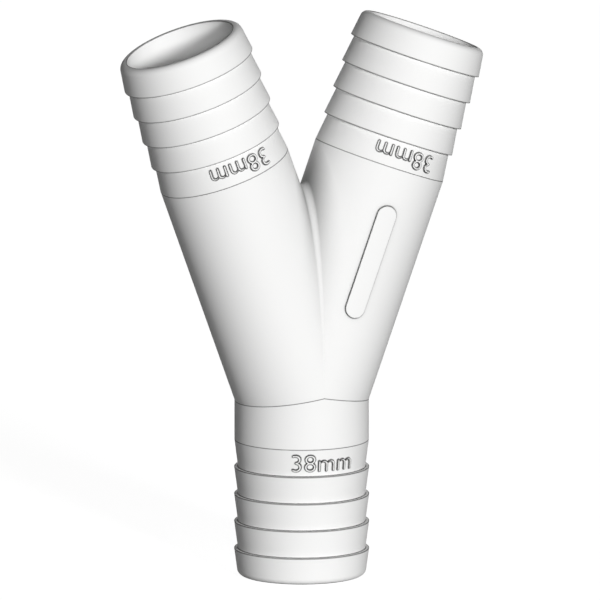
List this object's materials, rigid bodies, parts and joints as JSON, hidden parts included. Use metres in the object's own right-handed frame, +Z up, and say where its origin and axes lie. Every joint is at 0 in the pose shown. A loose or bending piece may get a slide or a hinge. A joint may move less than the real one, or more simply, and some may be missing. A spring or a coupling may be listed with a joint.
{
  "type": "tubing y connector",
  "caption": "Moulded plastic Y connector that splits one hose into two, with a barbed hose tail on each leg and open bores that meet in the middle.",
  "frame": {"origin": "centre of the stem's open end face, on which the part stands", "axes": "+Z up the stem's axis towards the branches; the branches lean out along -X and +X in the XZ plane; the front, with the raised pad on the right branch, faces -Y"},
  "size_m": [0.1092, 0.0396, 0.1641],
  "materials": {
    "white_plastic": "satin moulded white plastic with a very fine even grain"
  },
  "bodies": {
    "root": {"y_body": "white_plastic"}
  },
  "joints": []
}
